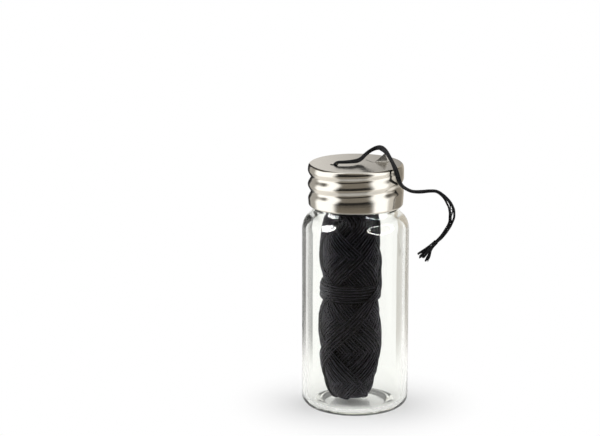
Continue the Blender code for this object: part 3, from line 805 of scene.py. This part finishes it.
def build_tongue(material):
    """The toothed triangle, bent up at its base on a small radius."""
    bend, radius = math.radians(TONGUE_BEND_DEG), TONGUE_BEND_RADIUS
    peak_x = TONGUE_BASE * TONGUE_PEAK_SHARE
    rows, columns = TONGUE_TEETH * TOOTH_ROWS, 10
    verts = []
    for i in range(rows + 1):
        v = TONGUE_LENGTH * i / rows
        tooth = abs((i / TOOTH_ROWS) % 1.0 - 0.5) * 2 if i < rows else 0.0
        left = peak_x * v / TONGUE_LENGTH - TOOTH_DEPTH * tooth
        right = TONGUE_BASE - (TONGUE_BASE - peak_x) * v / TONGUE_LENGTH
        right = max(right, left + TONGUE_TIP_WIDTH)
        turned = min(v / radius, bend)
        rest = max(v - radius * bend, 0.0)
        y = radius * math.sin(turned) + rest * math.cos(bend)
        z = radius * (1.0 - math.cos(turned)) + rest * math.sin(bend)
        for j in range(columns + 1):
            verts.append((left + (right - left) * j / columns, y, z))
    faces = []
    for i in range(rows):
        for j in range(columns):
            a = i * (columns + 1) + j
            faces.append((a, a + 1, a + columns + 2, a + columns + 1))
    tongue = new_object("cutting_tongue", verts, faces, material, degrees=0)
    sheet = tongue.modifiers.new("Sheet", "SOLIDIFY")
    sheet.thickness = TONGUE_SHEET
    sheet.offset = 0.0
    bevel = tongue.modifiers.new("Edges", "BEVEL")
    bevel.width = TONGUE_EDGE
    bevel.segments = 2
    bevel.limit_method = "ANGLE"
    bevel.angle_limit = math.radians(50)
    tongue.matrix_world = on_lid(TONGUE_TURN_DEG) @ Matrix.Translation(TONGUE_SHIFT)
    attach(tongue, "cap")


def build_liner(material):
    low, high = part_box("sealing_ring")
    outer, top, base = high.x, high.z, low.z
    bore, edge = NECK_BORE - LINER_LIP, LINER_EDGE
    outer, bore, top, base = outer - edge, bore + edge, top - edge, base + edge
    rings = []
    for r, z, start in ((outer, top, 90), (outer, base, 0), (bore, base, -90), (bore, top, -180)):
        rings += arc(r, z, edge, start, start - 90, 4)
    verts, faces = spun(rings + rings[:1], 96)
    liner = new_object("liner_ring", verts, faces, material)
    weld = liner.modifiers.new("Weld", "WELD")
    weld.merge_threshold = 1e-6
    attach(liner, "liner")
    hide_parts("sealing_ring")


# Spool
def outline_radius(share):
    """Radius of the spool's surface at a share of its height, smoothed."""
    steps = np.linspace(-OUTLINE_SMOOTHING, OUTLINE_SMOOTHING, 13)
    places = np.clip(np.asarray(share)[..., None] + steps, 0.0, 1.0)
    return SPOOL_RADIUS * np.interp(places, OUTLINE_HEIGHT_SHARES, OUTLINE_RADIUS_SHARES).mean(-1)


def spool_meridian():
    """Dense (r, z) line up the spool's surface, drawn in over both ends."""
    shares = np.linspace(*OUTLINE_ENDS, 120)
    side = np.stack([outline_radius(shares), SPOOL_HEIGHT * shares], axis=1)
    line = evenly(np.concatenate([FOOT_LINE, side, HEAD_LINE]), 400)
    return np.stack([smoothed(column, 9) for column in line.T], axis=1)


def on_spool(meridian, share, turn, depth):
    """Points and outward normals on the spool at shares of the meridian and turns."""
    place = np.clip(share, 0.0, 1.0) * (len(meridian) - 1)
    columns = np.concatenate([meridian, np.gradient(meridian, axis=0)], axis=1).T
    r, z, run_r, run_z = (np.interp(place, np.arange(len(meridian)), column) for column in columns)
    size = np.hypot(run_r, run_z)
    out_r, out_z = run_z / size, -run_r / size
    r, z = r - depth * out_r, z - depth * out_z
    points = np.stack([r * np.cos(turn), r * np.sin(turn), z], axis=-1)
    normals = np.stack([out_r * np.cos(turn), out_r * np.sin(turn), out_z], axis=-1)
    return points, normals


def traverse_share():
    """Shares of a traverse's time, and of its rise: steady in the middle, level at each reversal."""
    t = np.linspace(0.0, 1.0, TRAVERSE_POINTS)
    edge = REVERSAL_SHARE
    slope = 1.0 / (1.0 - edge)
    rise = np.where(t < edge, slope * t * t / (2 * edge), slope * (t - edge / 2))
    return t, np.where(t > 1 - edge, 1.0 - slope * (1.0 - t) ** 2 / (2 * edge), rise)


def over_or_under(t):
    """For each traverse along its way, 1 where it lies over the strands that cross it, -1 where under."""
    numbers = np.arange(TRAVERSES)
    level = math.tau * TURNS_A_TRAVERSE * (numbers[:, None] + t)
    level[1::2] = level[1::2, ::-1]
    half_pitch = math.pi * (TURNS_A_TRAVERSE * 2 * STARTS % 1.0)
    sides = np.empty_like(level)
    for own in numbers:
        others = slice((own + 1) % 2, None, 2)
        apart = np.abs((level[others] - level[own] + math.pi) % math.tau - math.pi)
        last = np.where(apart < half_pitch * CROSSING_SPREAD, numbers[others, None], -1).max(axis=0)
        sides[own] = smoothed(np.where(own > last, 1.0, -1.0), 5)
    sides[1::2] = sides[1::2, ::-1]
    return sides


def build_winding(meridian, floss):
    """The traverses from end to end, and the strands laid over them across the waist."""
    strands = Strands()
    t, rise = traverse_share()
    sides = over_or_under(t)
    for k in range(TRAVERSES):
        share = rise if k % 2 == 0 else 1.0 - rise
        turn = math.tau * TURNS_A_TRAVERSE * (k + t)
        turn = turn + random.normal(0.0, WANDER) + WANDER * random_wave(t, 5, 12)
        depth = FLOSS_THICKNESS / 2 + LAY_DEPTH * (1.0 - (k + t) / TRAVERSES)
        depth += random.normal(0.0, DEPTH_JITTER)
        if k < TRAVERSES - PROUD_TRAVERSES:
            depth += PROUD_LIFT
        depth -= OVER_LIFT * sides[k]
        line, normals = on_spool(meridian, share, turn, depth)
        width = FLOSS_WIDTH * random.uniform(*WIDTH_SHARES)
        strands.add(line, normals, width, FLOSS_THICKNESS, 8, 0.5)
    near = np.interp(BAND_MIDDLE_SHARE, rise, t)
    over = hill(rise, BAND_MIDDLE_SHARE, CROSSING_REACH)
    for degrees in CROSSING_DEG:
        turn = math.radians(degrees) + math.tau * TURNS_A_TRAVERSE * (t - near)
        line, normals = on_spool(meridian, rise, turn, CROSSING_DEPTH - CROSSING_LIFT * over)
        strands.add(line, normals, FLOSS_WIDTH, FLOSS_THICKNESS, 8, 0.5)
    return strands.build("winding_strands", floss)


def build_core(meridian, core_painted_shade_floss):
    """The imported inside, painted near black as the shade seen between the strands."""
    line, _ = on_spool(meridian, np.linspace(1.0, 0.0, 60), 0.0, CORE_DEPTH)
    rings = [(0.0, CORE_TOP)] + [(x, z) for x, _, z in line] + [(0.0, CORE_FOOT)]
    core = new_object("winding_core", *spun(rings, 64), core_painted_shade_floss)
    core.data.uv_layers.new(name="Along")
    for loop, item in zip(core.data.loops, core.data.uv_layers["Along"].data):
        x, y, z = core.data.vertices[loop.vertex_index].co
        item.uv = (z / MM, CORE_RADIUS_MM * math.atan2(y, x))
    return core


def build_band(floss):
    """Uneven turns round the waist, every second one a little proud."""
    band = Strands()
    middle = BAND_MIDDLE_SHARE * SPOOL_HEIGHT
    for i in range(BAND_TURNS):
        turn = np.linspace(0, math.tau * 1.02, 90) + random_phase()
        height = (i - BAND_TURNS // 2) * BAND_STEP + BAND_SWAY * np.sin(turn + random_phase())
        height += BAND_RIPPLE * np.sin(2 * turn + random_phase())
        radius = BAND_RADIUS + BAND_PROUD * (i % 2) + BAND_UNEVENNESS * np.sin(turn * 1.5 + i)
        line = np.stack([radius * np.cos(turn), radius * np.sin(turn), middle + height], axis=1)
        normals = np.stack([np.cos(turn), np.sin(turn), 0 * turn], axis=1)
        band.add(line, normals, BAND_WIDTH, BAND_THICKNESS, 6, 0.5)
    return band.build("waist_band_turns", floss)


def build_spool(floss, core_painted_shade_floss):
    meridian = spool_meridian()
    wound = build_winding(meridian, floss)
    core = build_core(meridian, core_painted_shade_floss)
    waist = build_band(floss)
    for piece, node in ((wound, "floss_winding"), (core, "floss_core"), (waist, "floss_waist_band")):
        piece.location = (SPOOL_OFFSET, 0.0, SPOOL_BASE_Z)
        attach(piece, "spool")
        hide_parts(node)


# Loose strand
def ribbon_frames(line, facing):
    """Across and outward directions of a flat strand whose face turns by facing radians."""
    ahead = unit(np.gradient(line, axis=0))
    towards = np.array([0.0, -1.0, 0.25])
    flat = unit(towards - (ahead @ towards)[:, None] * ahead)
    side = np.cross(ahead, flat)
    c, s = np.cos(facing)[:, None], np.sin(facing)[:, None]
    return side * c + flat * s, flat * c - side * s


def bundle(name, material, line, width, thickness, facing, count, filament, slits=()):
    """A flat strand of many fine filaments."""
    across, out = ribbon_frames(line, facing)
    share = np.linspace(0.0, 1.0, len(line))
    strands = Strands()
    for k in range(count):
        ring = math.sqrt((k + 0.5) / count)
        angle = GOLDEN_TURN * k
        u = ring * math.cos(angle) + FILAMENT_SWAY * random_wave(share, 6, 16)
        v = ring * math.sin(angle) + FILAMENT_SWAY * random_wave(share, 6, 16)
        shift = 0.0 * share
        for where, reach, place, opening in slits:
            shift += hill(share, where, reach) * opening * np.where(u > place, 1.0, -1.0)
        path = line + across * (u * width / 2 + shift)[:, None] + out * (v * thickness / 2)[:, None]
        strands.add(path, out, filament, filament, 5)
    return strands.build(name, material)


def build_strand(floss):
    route = [(x * MM, y * MM, LID_TOP_Z + rise * MM) for x, y, rise in STRAND_ROUTE_MM]
    line = evenly(through(route), STRAND_POINTS)
    share = np.linspace(0.0, 1.0, STRAND_POINTS)
    facing = TWIST_SWING * np.sin(share * TWIST_RATE + TWIST_START)
    facing *= 1.0 - hill(share, FLAT_SHARE, FLAT_REACH)
    width = np.interp(share, STRAND_WIDTH_SHARES, STRAND_WIDTHS_MM) * MM
    strand = bundle("loose_strand", floss, line, width, STRAND_THICKNESS, facing,
                    STRAND_FILAMENTS, STRAND_FILAMENT, STRAND_SLITS)
    fray = build_fray(line, floss)
    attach(strand, "cap")
    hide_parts("floss_strand")


def build_fray(line, floss):
    """Filaments that fan out from the strand's pinched end into a few fingers, and short ones between."""
    strands = Strands()
    tips = np.array([(x, FRAY_Y, z) for x, z in FRAY_TIPS])
    start, lean = line[-1], unit(line[-1:] - line[-4:-3])[0]
    taper = np.interp(np.linspace(0, 1, FRAY_POINTS), (0, 0.8, 1), (1, 1, 0.55)) * FRAY_FILAMENT
    for finger, middle in enumerate(tips):
        aside = FRAY_ACROSS * (finger - (len(tips) - 1) / 2) * FRAY_STEP
        for _ in range(FINGER_FILAMENTS):
            tip = middle + random.normal(0, 1, 3) * FRAY_TIP_SPREAD
            first = start - lean * 0.0002 + aside + random.normal(0, 0.00006, 3)
            mid = start + lean * 0.0008 + (tip - start) * 0.22 + aside
            near = tip - (tip - start) * 0.3 + random.normal(0, 0.00005, 3)
            path = evenly(through([first, mid, near, tip], 8), FRAY_POINTS)
            strands.add(path, FRAY_FACING, taper, taper, 5)
    for _ in range(FILL_FILAMENTS):
        place = random.uniform(0.0, len(tips) - 1.0)
        aim = np.array([np.interp(place, range(len(tips)), tips[:, k]) for k in range(3)])
        tip = start + (aim - start) * random.uniform(*FILL_REACH)
        first = start - lean * 0.0003 + random.normal(0, 0.00008, 3)
        path = evenly(through([first, start + (tip - start) * 0.4 + lean * 0.0002, tip], 8), 12)
        strands.add(path, FRAY_FACING, FRAY_FILAMENT, FRAY_FILAMENT, 5)
    fray = strands.build("frayed_tip", floss)
    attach(fray, "cap")
    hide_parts("floss_frayed_end")
    return fray


def build_feed(floss):
    low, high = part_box("floss_feed_strand")
    foot = Vector((SPOOL_OFFSET, 0.0, low.z))
    x, y, _ = STRAND_ROUTE_MM[0]
    head = Vector((x * MM, y * MM, high.z))
    up = Vector((0.0, 0.0, STRAND_DIAMETER))
    line = evenly(through([foot, foot + up, head - up, head]), FEED_POINTS)
    facing = np.linspace(0.0, FEED_TWIST, FEED_POINTS)
    feed = bundle("feed_strand", floss, line, FEED_WIDTH, FEED_THICKNESS, facing,
                  FEED_FILAMENTS, FEED_FILAMENT)
    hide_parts("floss_feed_strand")
    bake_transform(feed)


# Studio
def azimuth_and_rise(n, vector):
    """Degrees round the object from the front, positive to the right, and above level."""
    x, y, z = n.parts(vector)
    turn = n.maths("ARCTAN2", x, n.times(y, -1.0))
    return n.maths("DEGREES", turn), n.maths("DEGREES", n.maths("ARCSINE", z))


def window(n, value, low, high, soft):
    """1 while value is between low and high, and 0 outside, with soft edges."""
    rise = n.ramp(value, low - soft, low + soft)
    fall = n.ramp(value, high - soft, high + soft, 1.0, 0.0)
    return n.times(rise, fall)


def grey(level, warm=0.0):
    return (level * (1.0 + warm), level, level * (1.0 - 1.4 * warm), 1.0)


def seen_straight(n, ray):
    """1 for what the camera sees directly, or through glass without a reflection."""
    unmirrored = n.maths("LESS_THAN", ray["Glossy Depth"], 0.5)
    refracted = n.times(ray["Is Transmission Ray"], unmirrored)
    return n.maths("MAXIMUM", ray["Is Camera Ray"], refracted)


def mirrored_inside(n, ray):
    """1 for what only shows by a reflection inside the glass."""
    entered = n.maths("GREATER_THAN", ray["Transmission Depth"], 0.5)
    mirrored = n.maths("GREATER_THAN", ray["Glossy Depth"], 0.5)
    return n.times(entered, mirrored)


def inside_glow(n, around):
    """What a reflection inside the glass shows, by azimuth."""
    sides = n.mix(n.ramp(around, -20.0, 20.0), grey(0.88), grey(1.0))
    return n.mix(window(n, around, -75.0, 65.0, 12.0), sides, grey(0.05))


def side_boxes(n, around, colour):
    """The soft boxes at both sides and what lies between them, by azimuth."""
    for low, high, soft, level, warm in SIDE_BOXES:
        colour = n.mix(window(n, around, low, high, soft), colour, grey(level, warm))
    return colour


def build_world():
    """White to the camera. What it sends to the object changes by azimuth and rise."""
    world = bpy.data.worlds.new("studio")
    bpy.context.scene.world = world
    world.use_nodes = True
    n = Nodes(world.node_tree)
    around, above = azimuth_and_rise(n, n.coordinates("Generated"))
    ray = n.new("ShaderNodeLightPath").outputs
    front = n.mix(n.ramp(above, 15.0, 33.0), grey(0.030, 0.06), grey(0.26, 0.10))
    room = n.mix(window(n, around, -50.0, 36.0, 8.0), grey(1.0), front)
    glossy = n.mix(n.ramp(above, 70.0, 78.0), side_boxes(n, around, room), room)
    outer = n.maths("ADD", window(n, around, -150.0, -86.0, 8.0), window(n, around, 80.0, 150.0, 8.0))
    outer = n.times(outer, window(n, above, 20.0, 66.0, 8.0))
    glossy = n.mix(outer, glossy, grey(0.13, 0.08))
    diffuse = n.mix(window(n, around, -62.0, 52.0, 10.0), grey(0.58), grey(0.035))
    seen = n.mix(ray["Is Glossy Ray"], diffuse, glossy)
    seen = n.mix(mirrored_inside(n, ray), seen, inside_glow(n, around))
    seen = n.mix(seen_straight(n, ray), seen, grey(1.0))
    n.put(world.node_tree.nodes["Background"], Color=seen)


def table_light(n, length):
    """What the table in front sends to glass and metal, by distance from the axis."""
    light = grey(0.24, 0.08)
    for low, high, level, warm in TABLE_BANDS:
        light = n.mix(n.ramp(length, low, high), light, grey(level, warm))
    return light


def build_floor():
    """Pale paper that is white to the camera and softly shaded round the foot. To glass and metal it glows
    with painted light, a table and soft boxes, and in front it glows near black to diffuse rays as painted
    shade.
    """
    material, n, shader = new_material("paper_sweep")
    n.put(shader, Base_Color=grey(0.90), Roughness=0.9, Specular_IOR_Level=0.1)
    place = n.position()
    measure = n.new("ShaderNodeVectorMath", operation="LENGTH")
    n.put(measure, i0=place)
    length = measure.outputs["Value"]
    around, _ = azimuth_and_rise(n, place)
    ray = n.new("ShaderNodeLightPath").outputs
    sides = n.mix(n.ramp(length, 0.060, 0.095), grey(1.25, 0.03), side_boxes(n, around, grey(1.0)))
    colour = n.mix(window(n, around, -52.0, 40.0, 9.0), sides, table_light(n, length))
    colour = n.mix(mirrored_inside(n, ray), colour, inside_glow(n, around))
    sector = n.times(window(n, around, -62.0, 52.0, 8.0), n.ramp(length, 0.012, 0.02))
    unlit = n.times(sector, ray["Is Diffuse Ray"])
    straight = seen_straight(n, ray)
    gloss = n.times(ray["Is Glossy Ray"], n.maths("SUBTRACT", 1.0, straight))
    gloss = n.times(gloss, n.ramp(length, 0.016, 0.05))
    glow = n.glow(n.mix(unlit, colour, grey(0.03)))
    paper = n.blend(n.maths("MAXIMUM", gloss, unlit), shader.outputs[0], glow)
    white = n.times(straight, n.ramp(length, 0.004, 0.028))
    n.show(Surface=n.blend(white, paper, n.glow(grey(1.0))))
    verts = [(x, y, FLOOR_Z) for x, y in ((-3, -3), (3, -3), (3, 3), (-3, 3))]
    new_object("floor", verts, [(0, 1, 2, 3)], material)


def upright_card(name, material, near, far, foot, top):
    """A card that stands between two (x, y) places."""
    verts = [(*near, foot), (*far, foot), (*far, top), (*near, top)]
    return new_object(name, verts, [(0, 1, 2, 3)], material)


def build_side_cards():
    """A card at each side, behind, that only glass and metal show. The foot fades out."""
    for name, side, low, high in (
        ("left_card", -1.0, grey(0.20), grey(0.035)),
        ("right_card", 1.0, grey(0.55, 0.04), grey(0.50, 0.10)),
    ):
        material, n, _ = new_material(name)
        height = n.parts(n.position())[2]
        glow = n.glow(n.mix(n.ramp(height, 0.034, 0.038), low, high))
        clear = n.new("ShaderNodeBsdfTransparent").outputs[0]
        n.show(Surface=n.blend(n.ramp(height, 0.001, 0.012), clear, glow))
        near, far = (side * 0.0125, 0.0160), (side * 0.0240, 0.0190)
        card = upright_card(name, material, near, far, 0.0005, 0.070)
        unseen_by(card, "camera", "diffuse", "shadow")


def build_lid_card():
    """A card above and behind, darker to the right, that only the lid mirrors from the front."""
    material, n, _ = new_material("lid_card")
    across = n.parts(n.position())[0]
    shade = n.ramp(across, -0.008, 0.012, kind="LINEAR")
    n.show(Surface=n.glow(n.mix(shade, grey(0.88, 0.03), grey(0.38, 0.04))))
    card = upright_card("lid_card", material, (-0.016, 0.020), (0.024, 0.020), 0.0515, 0.062)
    unseen_by(card, "camera", "diffuse", "shadow", "transmission")


def build_softboxes(vial):
    """A soft box and a ring of light that only the vial's glass mirrors."""
    glass_only = bpy.data.collections.new("glass_only")
    glass_only.objects.link(vial)
    for name, around, above, wide, tall, heart, strength in SOFTBOXES:
        material, n, _ = new_material(name)
        clear = n.new("ShaderNodeAddShader")
        n.put(clear, i0=n.new("ShaderNodeBsdfTransparent").outputs[0], i1=n.glow(grey(1.0), strength))
        n.show(Surface=clear.outputs[0])
        box = new_object(name, *spun([(0.5, 0.0), (0.5 * heart, 0.0)], 64), material)
        turn, rise = math.radians(around), math.radians(above)
        way = Vector((math.sin(turn) * math.cos(rise), -math.cos(turn) * math.cos(rise), math.sin(rise)))
        facing = (-way).to_track_quat("-Z", "Y").to_matrix().to_4x4()
        place = Matrix.Translation(way * SOFTBOX_DISTANCE + Vector((0.0, 0.0, SOFTBOX_AIM_Z)))
        box.matrix_world = place @ facing @ Matrix.Diagonal((wide, tall, 1.0, 1.0))
        unseen_by(box, "camera", "diffuse", "shadow", "transmission")
        box.light_linking.receiver_collection = glass_only


def build_lamps():
    """Large soft lamps, one at each side and one above, that nothing mirrors."""
    for name, place, power in LAMPS:
        data = bpy.data.lights.new(name, "AREA")
        data.shape = "DISK"
        data.size = LAMP_SIZE
        data.energy = power
        lamp = bpy.data.objects.new(name, data)
        lamp.location = place
        way = Vector((0.0, 0.0, LAMP_AIM_Z)) - Vector(place)
        lamp.rotation_euler = way.to_track_quat("-Z", "Y").to_euler()
        unseen_by(lamp, "camera", "glossy", "transmission")
        bpy.context.scene.collection.objects.link(lamp)


# All
make_camera()
floss = floss_material("floss_waxed", (0.012, 0.012, 0.013, 1.0), (0.055, 0.055, 0.060, 1.0))
# The core's floss is painted near black: painted shade between the strands.
core_painted_shade_floss = floss_material("floss_inner_painted_shade", (0.002, 0.002, 0.002, 1.0), (0.004, 0.004, 0.005, 1.0), 0.5)
# The wound floss is a lighter copy of the floss with its flanks painted near black: painted light on the
# crowns and painted shade between strands.
wound_floss = floss_material("floss_wound", (0.014, 0.0135, 0.016, 1.0), (0.094, 0.090, 0.111, 1.0), 0.99)
build_strand(floss)
build_feed(floss)
vial = build_vial(glass_material())
# The lid's steel (tone 0.92) and the tongue's (tone 0.72) are darker copies of the side's: painted shade.
build_cap(steel_material("steel_side", 0.15, False), steel_material("steel_lid", 0.16, True, 0.92))
build_tongue(steel_material("steel_tongue", 0.22, True, 0.72))
build_liner(liner_material())
build_spool(wound_floss, core_painted_shade_floss)
build_world()
build_floor()
build_side_cards()
build_lid_card()
build_softboxes(vial)
build_lamps()
bpy.context.scene.view_settings.view_transform = "Standard"
